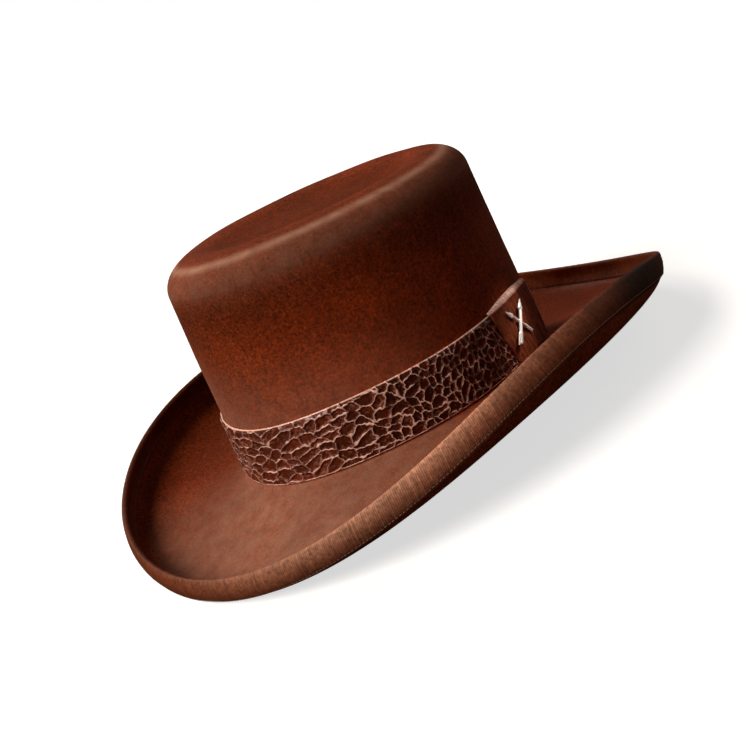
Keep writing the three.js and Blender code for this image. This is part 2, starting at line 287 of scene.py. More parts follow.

# %% [markdown]
# ## The felt
# One sheet of felt makes both crown and brim. Its upper face runs from the rim over the brim, up
# the side, round the top edge and into the shallow dish on top. The lower face is the same grid
# one wall deeper. Felt blocked by hand is never quite even, so a few long, low waves move both
# faces together. They fade out under the band and the ribbon, which lie close.
#
# Two more numbers are worked out for each point and stored with it for the material. The painted
# shading multiplies the colour as painted light and shade: darker in a band under the top's rounded
# edge, on that edge, on the top and at the crown's front foot, and lighter at the back of the brim
# and round 66 degrees on the crown's side. The painted highlight is a pale painted highlight on the
# brim and the crown's lower side that face the highlight angle, on the crown's side round -38
# degrees, and along the ridge of the top.

# %% Rows of the felt, from the rim to the middle of the top
brim_rows, corner_rows, side_rows, edge_rows, dish_rows = 62, 8, 36, 20, 25
brim_swell, crown_swell = 0.45, 0.5
ribbon_width = 11.5
band_height, band_lift = 33, 1.5
# Angle and strength of the felt's painted highlight.
highlight_angle, full_highlight = 21, 0.62
rng = np.random.default_rng(7)
swell_terms = [
    (turns, rows, *rng.uniform(0, 2 * np.pi, 2), rng.uniform(0.5, 1) / (turns + rows) ** 0.7)
    for turns, rows in [(2, 1), (3, 2), (5, 2), (4, 3), (7, 4), (9, 5)]
]


def swell(phi, share):
    """Sum of cos(turns phi + p) cos(rows pi share + q), each with its own weight: low waves."""
    return sum(
        weight * np.cos(turns * phi + p) * np.cos(rows * np.pi * share + q)
        for turns, rows, p, q, weight in swell_terms
    )


def lobe(phi, middle, spread):
    """A bell curve over the angles, 1 at its middle, both numbers in degrees."""
    return np.exp(-((((np.degrees(phi) - middle + 180) % 360 - 180) / spread) ** 2))


def felt_sheet(phi, depth):
    """The felt at a depth below its upper face. Along each row: brim, fillet, side, rounded edge
    and dish, for phi a column of angles. Comes with the painted shading, painted light and shade,
    and the painted highlight of every point."""
    width = brim_width * around("width", phi)
    share = np.linspace(0, 1, brim_rows)[None, :]
    before_rim = share * (width - fillet)
    wave = swell(phi, share) * blend_in(share * 5 - 0.8) * blend_in((1 - share) * 6)
    brim = brim_point(phi, before_rim, brim_swell * wave - depth)

    out_x, out_y = break_oval(phi)[2:]
    upper = brim_point(phi, before_rim[:, -1:], 0)
    ends = [upper, crown_point(phi, 0, 0), crown_point(phi, fillet, 0)]
    t = np.linspace(0, 1, corner_rows)[None, 1:, None]
    curve = ends[0] * (1 - t) ** 2 + ends[1] * 2 * t * (1 - t) + ends[2] * t**2
    way = (ends[1] - ends[0]) * (1 - t) + (ends[2] - ends[1]) * t
    inward = -(way[..., 0] * out_x + way[..., 1] * out_y)
    normal = np.stack([out_x * way[..., 2], out_y * way[..., 2], inward], -1)
    corner = curve - depth * normal / np.linalg.norm(normal, axis=-1, keepdims=True)

    up = np.linspace(0, 1, side_rows)[None, 1:]
    height = fillet + (side_height(phi) - fillet) * up
    fade = blend_in((height - band_lift - band_height - 4) / 18)
    side = crown_point(phi, height, crown_swell * swell(phi, 1 + up) * fade - depth)

    tx, ty, tox, toy = top_oval(phi)
    turn = crest_turn * np.linspace(0, 1, edge_rows)[None, 1:]
    bulge = crown_swell * swell(phi, 2 + turn / crest_turn * 0.3) - depth
    reach = edge_run * (1 - np.cos(turn)) - bulge * np.cos(turn)
    rise = top_height(ty) - edge_drop * (1 - np.sin(turn)) + bulge * np.sin(turn)
    edge = np.stack([tx - tox * reach, ty - toy * reach, rise], -1)

    inner = 1 - np.linspace(0, 1, dish_rows)[None, 1:-1]
    rx = tx - tox * edge_run * (1 - np.cos(crest_turn))
    ry = ty - toy * edge_run * (1 - np.cos(crest_turn))
    crest = top_height(ty) - edge_drop * (1 - np.sin(crest_turn))
    dx, dy = rx * inner, crown_lean + (ry - crown_lean) * inner
    level = top_height(dy) + (crest - top_height(ry)) * inner
    hollow = dish_depth * np.sin(np.minimum((1 - inner) / dish_slope, 1) * np.pi / 2)
    wave = crown_swell * swell(phi, 2.3) * inner**2
    dish = np.stack([dx, dy, level - hollow + wave - depth], -1)
    parts = [brim, corner, side, edge, dish]

    # Painted light and shade: a dark band under the rounded edge, a darker foot at the front, a
    # darker edge and top, and a lighter back of the brim and crown side round 66 degrees.
    below = side_height(phi) - height
    degrees = np.degrees(turn)
    painted_shade_bands = 0.18 * blend_in((height - 30) / 40) + 0.3 * np.exp(-(((below - 9) / 16) ** 2))
    painted_shade_foot = 0.3 * lobe(phi, 25, 50) * blend_in((60 - height) / 40)
    painted_shading = [
        0.79 + 0.06 * np.cos(phi - np.radians(80)) + 0.6 * lobe(phi, 176, 32),
        1,
        (1 - painted_shade_bands) * (1 + 0.45 * lobe(phi, 66, 36) - painted_shade_foot),
        0.6 + 0.3 * np.sin(turn) ** 2,
        0.66 + 0.22 * blend_in((inner - 0.8) / 0.2),
    ]
    # Painted highlight: pale where brim and crown face the highlight angle, on the crown round -38
    # degrees, just under the rounded edge and along the top's ridge.
    facing = blend_in(1.5 * np.cos(phi - np.radians(highlight_angle)) - 0.5)
    left_edge_highlight = 0.4 * lobe(phi, -38, 28) * blend_in((100 - height) / 60)
    painted_highlight = [
        full_highlight * facing * blend_in(share * 6 - 0.8),
        full_highlight * facing,
        0.36 * facing * blend_in((80 - height) / 60) + left_edge_highlight + 0.18 * np.exp(-below / 4),
        np.exp(-(((degrees - 56) / 8) ** 2)) + 0.3 * blend_in(1.6 - degrees / 45),
        0,
    ]
    stored = [
        np.hstack([np.broadcast_to(value, part.shape[:2]) for value, part in zip(values, parts)])
        for values in (painted_shading, painted_highlight)
    ]
    return np.hstack(parts), *stored


# %% [markdown]
# The sheet's rows stop short of the middle of the top, so one point closes each face there, and
# a strip joins the two faces along the rim, under the ribbon.

# %% The felt as one closed shell
def felt_hat(columns=288):
    """Both faces of the felt, one column for each angle, joined at the rim and at the middle."""
    phi = np.linspace(0, 2 * np.pi, columns, endpoint=False)[:, None]
    upper_face, painted_shading, painted_highlight = felt_sheet(phi, 0)
    sheets = [place(upper_face), place(felt_sheet(phi, felt_wall)[0])]
    rows = upper_face.shape[1]
    painted_shading = np.concatenate([painted_shading.ravel(), np.ones(columns * rows), [painted_shading[0, -1], 1]])
    painted_highlight = np.concatenate([painted_highlight.ravel(), np.zeros(columns * rows + 2)])
    middles = [sheet[:, -1].mean(0) for sheet in sheets]
    points = np.vstack([sheet.reshape(-1, 3) for sheet in sheets] + middles)
    upper = grid_faces(columns, rows, close_rows=True)
    shift = columns * rows
    here = np.arange(columns) * rows
    there = np.roll(here, -1)
    rim = np.stack([here + shift, there + shift, there, here], -1)
    first, last = np.full(columns, 2 * shift), np.full(columns, 2 * shift + 1)
    top = np.stack([first, there + rows - 1, here + rows - 1], -1)
    under = np.stack([last, here + rows - 1 + shift, there + rows - 1 + shift], -1)
    quads = np.concatenate([upper, upper[:, ::-1] + shift, rim])
    triangles = np.concatenate([top, under])
    return make_piece("felt_hat", points, [quads, triangles], {"painted_shading": painted_shading, "painted_highlight": painted_highlight})


felt_piece = felt_hat()

# %% [markdown]
# ## The ribbon over the rim
# A grosgrain ribbon is folded over the brim's edge and sewn down. Its ribs cross it from one
# border to the other, about one to the millimetre. A bump map would vanish along the rim's
# outline, so the ribs are real: three columns of points for each, one in the valley and two on
# the crest. The grid's one direction follows the rim, and the other goes round the ribbon's own
# thin section.

# %% The section of the ribbon
rib_pitch, rib_height = 1.05, 0.1
ribbon_wall, ribbon_gap, nose_reach = 0.65, 0.1, 1.2
ribbon_rows = np.array([1, 0.97, 0.8, 0.6, 0.42, 0.26, 0.12, 0.03])


def ribbon_section():
    """Distance from the rim, height over the felt's upper face, and share of the rib's relief for
    each point round the section: the outer skin over the rim, then the inner skin back."""
    inside, outside = ribbon_gap, ribbon_gap + ribbon_wall
    rows = ribbon_rows * ribbon_width
    turn = np.radians([60, 30, 0, -30, -60])
    half = felt_wall / 2
    nose = (-nose_reach * np.cos(turn), -half + (half + outside) * np.sin(turn))
    relief = np.clip((1 - ribbon_rows) * 12, 0, 1)
    thin = inside + ribbon_wall * blend_in(0.3 + (1 - ribbon_rows) * 5)
    back_rows = ribbon_width * np.array([0.99, 0.5, 0.02])
    sections = [
        (rows, thin, relief),
        (*nose, np.ones(len(turn))),
        (rows[::-1], -felt_wall - thin[::-1], relief[::-1]),
        (back_rows, np.full(3, -felt_wall - inside), np.zeros(3)),
        (back_rows[::-1], np.full(3, inside), np.zeros(3)),
    ]
    return [np.concatenate(column)[None, :] for column in zip(*sections)]


# %% The ribbon, rib by rib
def even_angles(count, before_rim=0):
    """Angles that part the rim into equal lengths: the running length along it, read backwards."""
    phi = np.linspace(0, 2 * np.pi, 1441)[:, None]
    line = brim_point(phi, np.full_like(phi, before_rim), 0)[:, 0]
    length = np.concatenate([[0], np.cumsum(np.linalg.norm(np.diff(line, axis=0), axis=1))])
    return np.interp(np.arange(count) / count * length[-1], length, phi[:, 0])[:, None], length[-1]


rim_length = even_angles(1)[1]
rib_count = int(rim_length / rib_pitch)
phi_ribs = even_angles(rib_count * 3)[0]
before_rim, off, relief = ribbon_section()
crest = np.tile([0, 1, 1], rib_count)[:, None]
rib_tone = np.repeat(rng.normal(0, 1, rib_count), 3)[:, None]
rib_tone = rib_tone + 0.4 * np.sin(phi_ribs * 23 + 2 * np.sin(phi_ribs * 7))
lift_off = rib_height * relief * crest * (1 + 0.25 * rib_tone)
side = np.where(before_rim < 0, 0, np.sign(off + felt_wall / 2))
from_rim = before_rim - lift_off * (side == 0)
ribbon_points = place(brim_point(phi_ribs, from_rim, off + lift_off * side))
# Painted light and shade along the ribbon: lighter where the light falls, darker at the sides, the
# tip and elsewhere.
ribbon_painted_shading = [  # middle and spread in degrees, and how much lighter the ribbon is there
    (54, 42, 0.5), (57, 9, 0.25), (-8, 26, 0.22), (182, 26, 1.3), (38, 9, -0.12), (112, 14, -0.5),
]
# The ribbon stores its ribs' crests, which the material paints lighter than the valleys as painted
# light and shade.
ribbon_piece = make_piece(
    "edge_ribbon",
    ribbon_points,
    [grid_faces(rib_count * 3, before_rim.shape[1], close_rows=True, close_columns=True)],
    {
        "rib": crest * relief, "rib_tone": rib_tone, "border": before_rim,
        # Wear with a painted highlight on the rim's near side.
        "wear_and_highlight": lobe(phi_ribs, 47, 35),
        "painted_shading": 0.55 + sum(amount * lobe(phi_ribs, *where) for *where, amount in ribbon_painted_shading),
    },
)
print("rim", round(float(rim_length)), "mm,", rib_count, "ribs")

# %% [markdown]
# ## Stitches
# A line of small stitches holds the ribbon's two borders to the felt. Each stitch is the same
# little capsule, and numpy sets hundreds of copies in place at once: the capsule's points are
# counted along the rim, across it and off it, and the brim's own function bends them to the felt.

# %% Capsules sewn along the rim
stitch_pitch, stitch_length, stitch_width, stitch_inset = 2.1, 1.5, 0.42, 1.5
stitch_stand = ribbon_gap + ribbon_wall + 0.08


def capsule(rings=7, sides=6):
    """Points of a unit capsule along its first axis: circles of radius sin(t)^0.6 / 2
    at -cos(t) / 2."""
    t = np.linspace(0.12, np.pi - 0.12, rings)[:, None]
    a = np.linspace(0, 2 * np.pi, sides, endpoint=False)[None, :]
    radius = np.sin(t) ** 0.6 / 2
    return np.stack([-np.cos(t) / 2 + 0 * a, radius * np.cos(a), radius * np.sin(a)], -1)


def stitches(off):
    """Capsules at equal steps along the rim, on the face of the ribbon at off."""
    count = int(rim_length / stitch_pitch)
    phi = even_angles(count, ribbon_width)[0]
    shape = capsule()
    rings, sides = shape.shape[:2]
    forward, sideways, upwards = shape.reshape(1, -1, 3).transpose(2, 0, 1)
    slant = rng.normal(0, 0.06, (count, 1))
    angles = phi + forward * stitch_length * 2 * np.pi / rim_length
    across = ribbon_width - stitch_inset + sideways * stitch_width + forward * slant
    high = off + upwards * stitch_width + 0 * angles
    points = place(brim_point(*(part.reshape(-1, 1) for part in (angles, across, high))))
    starts = np.arange(count)[:, None, None] * rings * sides
    faces = ((part + starts).reshape(-1, part.shape[1]) for part in capped_tube(rings, sides))
    return points.reshape(-1, 3), *faces


def sewn_line():
    """Both lines of stitches as one piece, over the ribbon's two borders."""
    upper, lower = stitches(stitch_stand), stitches(-felt_wall - stitch_stand)
    faces = [np.vstack([upper[k], lower[k] + len(upper[0])]) for k in (1, 2)]
    return make_piece("ribbon_stitches", np.vstack([upper[0], lower[0]]), faces)


stitch_piece = sewn_line()

# %% [markdown]
# ## The leather band
# The band is one strip of embossed leather: shallow rounded cells with raised ridges between them.
# A cell is the set of points nearest to one seed. The seeds stand in a jittered brick bond, so
# each point only has to look at the 25 seeds round its own brick, and one array holds all the
# distances. The difference between the two shortest is zero on a ridge and grows towards a cell's
# middle. The grid's points that fall near a ridge are moved onto it, so that the ridges stay thin
# and unbroken though the grid's step is about half a millimetre. The material is told how far each
# point is from a ridge, its cell's tone, darkened towards the band's sides as painted shade, how
# strongly that ridge is rubbed and painted as highlight, how deep it lies in the wrap's painted
# shade, and how far the strip's border is.

# %% A pattern of rounded cells
def cell_pattern(u, v, skew, seed, jitter=0.38, kept=0.92, pad=4):
    """At places u along the band and v up it, counted in cells: the distance from the ridge, a
    random number for the cell, how level the ridge is, from 0 upright to 1 level, and the two
    steps to the ridge. The distance to a seed grows slower downwards by the skew, which arches
    each cell's top. A twelfth of the seeds is left out, and fine waves bend the places."""
    bend_u = 0.05 * np.sin(6.1 * v + 2.0 * np.sin(2.3 * u)) + 0.03 * np.sin(13.0 * v + 3.0 * u)
    bend_v = 0.06 * np.sin(5.3 * u + 1.7 * np.sin(3.1 * v)) + 0.045 * np.sin(14.0 * u - 4.0 * v)
    u, v = u + bend_u, v + bend_v
    cells = np.random.default_rng(seed)
    row, column = np.indices((int(v.max()) + 2 * pad, int(u.max()) + 2 * pad))
    place_u = column - pad + 0.5 * (row % 2) + cells.uniform(-jitter, jitter, row.shape)
    place_v = row - pad + 0.5 + 0.75 * cells.uniform(-jitter, jitter, row.shape)
    tone = cells.uniform(0, 1, row.shape)
    place_u = np.where(tone > kept, place_u + 99, place_u)
    look = np.stack(np.meshgrid(np.arange(-2, 3), np.arange(-2, 3)), -1).reshape(-1, 2)
    near = (
        np.floor(v)[..., None].astype(int) + pad + look[:, 0],
        np.floor(u)[..., None].astype(int) + pad + look[:, 1],
    )
    beside, above = u[..., None] - place_u[near], v[..., None] - place_v[near]
    reach = np.maximum(np.hypot(beside, above), 0.01)
    distance = reach + skew[..., None] * above
    nearest = np.argsort(distance, -1)

    def seed_value(part, order):
        return np.take_along_axis(part, nearest[..., order, None], -1)[..., 0]

    parts = (distance, beside / reach, above / reach)
    away, slope_u, slope_v = (seed_value(part, 1) - seed_value(part, 0) for part in parts)
    steep = slope_u**2 + slope_v**2
    back = np.where(steep > 0.8, -away / np.maximum(steep, 0.8), 9)
    cell_tone = seed_value(tone[near], 0)
    level = np.abs(slope_v) / np.sqrt(np.maximum(steep, 0.01))
    return away, cell_tone, level, back * slope_u, back * slope_v


# %% The band's outer face and its back
wrap_angle, wrap_length = 110, 48
band_wall, band_gap, band_relief, band_end_gap = 1.6, 0.3, 0.6, 0.8
cell_height, side_cell, front_cell = 4.8, 4.2, 10.5  # the cells are longer at the front
ridge_snap = 0.22  # points nearer than this to a ridge are moved onto it


def fillet_reach(height):
    """How far the fillet stands off the crown at a height over the break: f (1 - sqrt(h/f))^2."""
    return fillet * np.clip(1 - np.sqrt(height / fillet), 0, 1) ** 2


def per_radian(phi):
    """Millimetres round the crown for each radian, at the angle phi."""
    return np.hypot(crown_width / 2 * np.cos(phi), crown_length / 2 * np.sin(phi))


def degrees_of(length, angle):
    """Degrees round the crown that a length takes up near an angle in degrees."""
    return np.degrees(length / per_radian(np.radians(angle)))


def leather_band(columns=1300, rows=72):
    """A strip round the crown with ridged cells. Its grid goes up the outer face and down the
    back, and the two ends meet, almost, under the wrap."""
    half_gap = degrees_of(band_end_gap / 2, wrap_angle)
    ends = wrap_angle + half_gap, wrap_angle + 360 - half_gap
    phi = np.radians(np.linspace(*ends, columns))[:, None]
    up = np.linspace(0, band_height, rows)[None, :]
    towards_side = (1 - np.cos(2 * phi)) / 2
    cell_length = front_cell - (front_cell - side_cell) * towards_side
    step = np.diff(phi[:, 0], prepend=phi[0, 0])[:, None]
    u = np.cumsum(step * per_radian(phi) / cell_length, 0)
    v = up / cell_height
    sway = 0.14 * np.sin(1.9 * u + 0.9 * v) + 0.1 * np.sin(1.1 * u - 1.3 * v)
    v = v + 0.35 * np.sin(0.45 * u) + sway
    u, v = np.broadcast_arrays(u + sway, v - v.min())
    skew = 0.5 - 0.4 * towards_side + 0 * v
    away, tone, level, step_u, step_v = cell_pattern(u, v, skew, seed=11)
    border = np.minimum(up, band_height - up)
    flat = blend_in(border / 1.6)
    along, across = step_u * cell_length, step_v * cell_height
    moved = (np.hypot(along, across) < ridge_snap) & (border > 0.6)
    phi, up = phi + moved * along / per_radian(phi), up + moved * across
    away = np.where(moved, 0, away)
    bowl = blend_in(away / 0.42) * (0.7 + 0.5 * tone)
    relief = band_relief * ((0.3 - bowl) * flat - 0.15 * (1 - flat))
    height = band_lift + up
    off = band_gap + fillet_reach(height)
    pared = 0.8 * (1 - blend_in((band_height - up) / 1.8)) + 0.3 * (1 - blend_in(up / 1.2))
    outer = crown_point(phi, height, off + band_wall - pared + relief)
    back = crown_point(phi[:, [-1, 0]], height[:, [-1, 0]], off[:, [-1, 0]])
    points = place(np.concatenate([outer, back], 1))
    # Painted shade near the wrap, and painted highlight on level ridges at the front and round 52
    # degrees, on top of the rubbing.
    shaded = lobe(phi, wrap_angle, 35)
    level_only = 0.75 * lobe(phi, 0, 50) * (1 - level**2) + 0.3 * (1 - level)
    ridge_wear_highlight = (1 - np.minimum(level_only, 0.85)) * (1 - shaded) + (1 - 0.5 * level) * shaded
    ridge_wear_highlight = ridge_wear_highlight * (1 + 0.25 * lobe(phi, 52, 28))
    # The cell's random tone is darkened towards the band's sides as painted shade.
    stored = {
        "ridge": away, "cell_tone": 0.8 * tone + 0.1 - 0.45 * towards_side,
        "ridge_wear_highlight": ridge_wear_highlight, "shaded": shaded, "border": border,
    }
    stored = {
        name: np.pad(np.broadcast_to(values, away.shape), ((0, 0), (0, 2)))
        for name, values in stored.items()
    }
    return make_piece("leather_band", points, capped_tube(columns, rows + 2), stored)


band_piece = leather_band()

# %% [markdown]
# ## The suede wrap
# A piece of suede is wrapped round the band over its joint, gathered into soft upright folds, and
# its upper edge is rolled over. The folds are a sum of waves along the wrap, which flatten under
# the roll and die away at its two side edges. The roll is a circle that the same grid runs round.

# %% Folds, wall and rolled edge
wrap_wall, roll_radius, roll_ribs = 1.3, 1.9, 24
wrap_inside = band_gap + band_wall + 0.45
left_narrowing, right_reach = 0.28, 1.45  # the wrap is gathered low on its left
wrap_over, wrap_under = 0.3, 0.15  # past the band's upper edge, and short of its lower one


def fold_relief(share, up):
    """Soft folds: waves along the wrap, bent a little on the way up, each with its own depth."""
    bend = 0.035 * np.sin(2.2 * up + 1) + 0.05 * up * (share - 0.5)
    waves = 0
    for turns, phase, depth in [(4, 0.4, 0.3), (7, 2.1, 0.22), (11, 5.0, 0.16), (17, 1.2, 0.1)]:
        swing = 1.5 * np.sin(3.1 * up + phase) + 0.9 * np.sin(7 * up + 2 * phase + 3 * share)
        waves = waves + depth * np.sin(2 * np.pi * turns * (share + bend) + phase + swing)
    return waves


def suede_wrap(columns=260, rows=56, roll_rows=18):
    """The wrap as a closed shell: up the outer face, round the roll and down the back."""
    half = degrees_of(wrap_length / 2, wrap_angle)
    share = np.linspace(0, 1, columns)[:, None]
    fade = np.clip(np.sin(np.pi * share), 0, 1) ** 0.4
    up = np.linspace(0, 1, rows)[None, :]
    frayed = 0.02 * np.sin(17 * up + 4 * share) + 0.012 * np.sin(41 * up + 9 * share)
    reach = np.where(share < 0.5, 1 - left_narrowing * (1 - up) ** 1.4, right_reach)
    reach = reach * (1 + frayed * blend_in((1 - up) * 4))
    phi_up = np.radians(wrap_angle + half * (2 * share - 1) * reach)
    phi = phi_up[:, -1:]
    high = band_height + wrap_over
    height = band_lift + wrap_under + (high - wrap_under) * up
    pinch = 0.4 + 0.6 * blend_in((1 - up) / 0.12)
    inside = wrap_inside + fillet_reach(height)
    off = inside + wrap_wall + fold_relief(share, up) * fade * pinch
    near_side = np.clip(np.minimum(share, 1 - share) / 0.14, 0, 1)
    dip = 0.22 * (1 - near_side) ** 2
    off = off - (wrap_wall - 0.1) * (1 - np.sqrt(1 - (1 - near_side) ** 2)) - dip
    outer = crown_point(phi_up, height, off)
    turn = np.radians(np.linspace(-20, 205, roll_rows))[None, :]
    twist = np.sin(2 * np.pi * roll_ribs * (share + 0.012 * np.sin(21 * share)) + 2.2 * turn)
    taper = (0.55 + 0.45 * blend_in(share / 0.4)) * (1 - 0.25 * blend_in((share - 0.5) / 0.3))
    thick = roll_radius * (0.4 + 0.6 * fade) * taper
    radius = thick * (1 + 0.045 * twist + 0.05 * np.sin(9 * share + 1))
    roll_height = band_lift + high + radius * (1 + np.sin(turn))
    roll = crown_point(phi, roll_height, band_gap + thick + radius * np.cos(turn))
    down = [rows - 1, int(0.6 * rows), int(0.3 * rows), 0]
    inner = crown_point(phi_up[:, down], height[:, down], inside[:, down] - dip)
    points = place(np.concatenate([outer, roll, inner], 1))
    rolled = np.repeat([[0, 1, 0]], [rows, roll_rows, len(down)], 1)
    # Painted light and shade: fold crests lighter, hollows darker, and the roll's ribs alike.
    folds = 0.8 * fold_relief(share, up) * fade
    painted_fold_shading = np.hstack([folds, 0.5 * twist, np.zeros((columns, len(down)))])
    faces = capped_tube(columns, points.shape[1])
    return make_piece("suede_wrap", points, faces, {"rolled": rolled, "painted_fold_shading": painted_fold_shading})


wrap_piece = suede_wrap()

# %% [markdown]
# ## The silver pin
# Two small cast arrows cross on the wrap. A cast piece has no joints, so each arrow is put
# together from overlapping closed surfaces, a shaft, a barbed head and two vanes, and a voxel
# remesh melts them into one body with soft inner corners. This is done while the pin lies flat.
# Its points are then bent round the wrap, because a remesh of a bent pin would cost accuracy.

# %% The flat arrow
arrow_length, arrow_lean, shaft_radius = 26, 41, 0.95
head_length, head_width, vane_length, vane_width = 6.4, 4.6, 7.6, 3.6
front_arrow, back_arrow, back_slim = 1.75, 0.85, 0.66  # heights over the wrap, and a width
pin_forward, pin_height, pin_stand, pin_voxel = 6.5, 20.5, 0.6, 0.17


def turned(profile, sides, flatten=1.0):
    """A profile of (radius, height) turned round the y axis, its depth scaled by flatten."""
    radius, height = np.array(profile, float).T
    a = np.linspace(0, 2 * np.pi, sides, endpoint=False)[None, :]
    x, z = radius[:, None] * np.cos(a), radius[:, None] * np.sin(a) * flatten
    points = np.stack([x, height[:, None] + 0 * a, z], -1).reshape(-1, 3)
    return points, *capped_tube(len(radius), sides)


def vane(side, count=72, rows=7):
    """A flat feather: a rounded oblong whose outer edge is nicked like a feather's barbs."""
    t = np.linspace(0, 2 * np.pi, count, endpoint=False)[:, None]
    over = np.linspace(0.15, np.pi - 0.15, rows)[None, :]
    ring, level = np.sin(over) ** 0.35, -np.cos(over)
    across = np.sign(np.cos(t)) * np.abs(np.cos(t)) ** 0.5
    along = np.sign(np.sin(t)) * np.abs(np.sin(t)) ** 0.5
    nick = 1 - 0.14 * (0.5 + 0.5 * np.cos(along * 4 * np.pi)) * (across * side > 0.3)
    half = (vane_width / 2 - 0.3) / 2
    x = side * (0.3 + half) + half * across * nick * ring
    y = (vane_length - arrow_length) / 2 + 0.7 * side + vane_length / 2 * along * ring
    points = np.stack([x, y - 0.5 * side * x, 0.42 * level + 0 * x], -1).reshape(-1, 3)
    ends = np.array([np.arange(count)[::-1] * rows, np.arange(count) * rows + rows - 1])
    return points, grid_faces(count, rows, close_rows=True), ends


def flat_arrow(lean, height, slim=1.0):
    """Shaft, head and vanes of one arrow, leaning in its plane, as lists of points and faces. A
    slim arrow is as long as the other, but narrower."""
    end = arrow_length / 2
    barb = end - head_length
    shaft = [(shaft_radius, -end + 0.6), (shaft_radius, 0), (shaft_radius * 0.9, end - 3)]
    nock = [(0.35, -end - 0.5), (1.0, -end - 0.1), (1.05, -end + 0.5), (0.7, -end + 1.0)]
    tip = [(0.05, end), (0.5, end - 0.8), (0.3 * head_width, end - 3.4)]
    head = turned(tip + [(head_width / 2, barb), (0.5, barb + 1.5)], 24, flatten=0.42)
    parts = (turned(shaft, 20), turned(nock, 16), head, vane(1), vane(-1))
    a = np.radians(lean)
    tilt = np.array([[np.cos(a), np.sin(a), 0], [-np.sin(a), np.cos(a), 0], [0, 0, 1]])
    return [(p * [slim, 1, slim] @ tilt + [0, 0, height], q, e) for p, q, e in parts]


# %% The pin melted together and bent
def arrow_pin():
    """Both arrows and the post behind them as one body, bent round the wrap."""
    post = turned([(0.8, -0.6), (0.8, 0.6)], 16)
    post = (post[0][:, [0, 2, 1]], post[1][:, ::-1], post[2][:, ::-1])
    parts = flat_arrow(-arrow_lean, front_arrow)
    parts += flat_arrow(arrow_lean, back_arrow, slim=back_slim) + [post]
    points, faces, start = [], [], 0
    for part_points, quads, ends in parts:
        if shell_volume(part_points, quads) < 0:
            quads, ends = quads[:, ::-1], ends[:, ::-1]
        points.append(part_points)
        faces += (quads + start).tolist() + (ends + start).tolist()
        start += len(part_points)
    mesh = bpy.data.meshes.new("flat_pin")
    mesh.from_pydata(np.vstack(points) * MM, [], faces)
    flat = add_object("flat_pin", mesh)
    remesh = flat.modifiers.new("melt", "REMESH")
    remesh.mode, remesh.voxel_size, remesh.use_smooth_shade = "VOXEL", pin_voxel * MM, True
    relax = flat.modifiers.new("relax", "SMOOTH")
    relax.factor, relax.iterations = 0.5, 4
    graph = bpy.context.evaluated_depsgraph_get()
    melted = bpy.data.meshes.new_from_object(flat.evaluated_get(graph))
    bpy.data.objects.remove(flat)
    flat_points = np.empty(len(melted.vertices) * 3, np.float32)
    melted.vertices.foreach_get("co", flat_points)
    x, y, z = (flat_points.reshape(-1, 3).astype(float) / MM).T[:, :, None]
    middle = wrap_angle - degrees_of(pin_forward, wrap_angle)
    phi = np.radians(middle + degrees_of(x, middle))
    seat = wrap_inside + wrap_wall + pin_stand
    bent = place(crown_point(phi, band_lift + pin_height + y, seat + z))
    melted.vertices.foreach_set("co", (bent.reshape(-1) * MM).astype(np.float32))
    melted.update()
    melted.name = "arrow_pin_silver"
    piece = add_object("arrow_pin_silver", melted)
    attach(piece, "root")
    print("arrow_pin_silver:", len(melted.polygons), "faces")
    return piece


pin_piece = arrow_pin()

# %% [markdown]
# ## Helpers for materials
# A material is a small graph. One helper adds a node and sets or joins its inputs, and a few more
# give the arithmetic short names. Another starts a node group, which is an effect that several
# materials share, with its own inputs and outputs. The groups put out only numbers that change
# over the surface. Each material keeps its own shader, where everything that is the same all over
# is set straight on the sockets.

# %% Nodes and arithmetic
def add_node(tree, kind, inputs=None, **settings):
    """A node with its settings, and with each input either set or joined to another's output."""
    node = tree.nodes.new("ShaderNode" + kind)
    for name, value in settings.items():
        setattr(node, name, value)
    for name, value in (inputs or {}).items():
        if isinstance(value, bpy.types.NodeSocket):
            tree.links.new(value, node.inputs[name])
        else:
            node.inputs[name].default_value = value
    return node


def math_node(tree, operation, a, b=0.0, c=0.0):
    """The output of a Math node."""
    return add_node(tree, "Math", {0: a, 1: b, 2: c}, operation=operation).outputs[0]


def times(tree, product, *factors):
    """The product of several numbers."""
    for factor in factors:
        product = math_node(tree, "MULTIPLY", product, factor)
    return product


def scaled(tree, value, slope, start):
    """start + slope x value."""
    return math_node(tree, "MULTIPLY_ADD", value, slope, start)


def less(tree, a, b):
    """a - b."""
    return math_node(tree, "SUBTRACT", a, b)


def at_least(tree, a, b):
    return math_node(tree, "MAXIMUM", a, b)


def at_most(tree, a, b):
    return math_node(tree, "MINIMUM", a, b)


def attribute(tree, name):
    return add_node(tree, "Attribute", attribute_name=name).outputs["Fac"]


# %% Groups and materials
def new_group(name, inputs, outputs):
    """A node group with its named inputs, given as values, and its named outputs."""
    tree = bpy.data.node_groups.new(name, "ShaderNodeTree")
    for label, value in inputs.items():
        kind = "NodeSocketVector" if value is None else "NodeSocketFloat"
        socket = tree.interface.new_socket(label, in_out="INPUT", socket_type=kind)
        if value is not None:
            socket.default_value = value
    for label in outputs:
        tree.interface.new_socket(label, in_out="OUTPUT", socket_type="NodeSocketFloat")
    return tree, tree.nodes.new("NodeGroupInput").outputs, tree.nodes.new("NodeGroupOutput").inputs


def new_material(piece, name, **shader_values):
    """A material for a piece, with one Principled BSDF whose constants are set on its sockets.
    Gives back its node tree, the shader and the coordinates on the piece."""
    material = bpy.data.materials.new(name)
    material.use_nodes = True
    piece.data.materials.append(material)
    tree = material.node_tree
    shader = tree.nodes["Principled BSDF"]
    for label, value in shader_values.items():
        shader.inputs[label.replace("_", " ").title().replace("Ior", "IOR")].default_value = value
    return tree, shader, add_node(tree, "TexCoord").outputs["Object"]


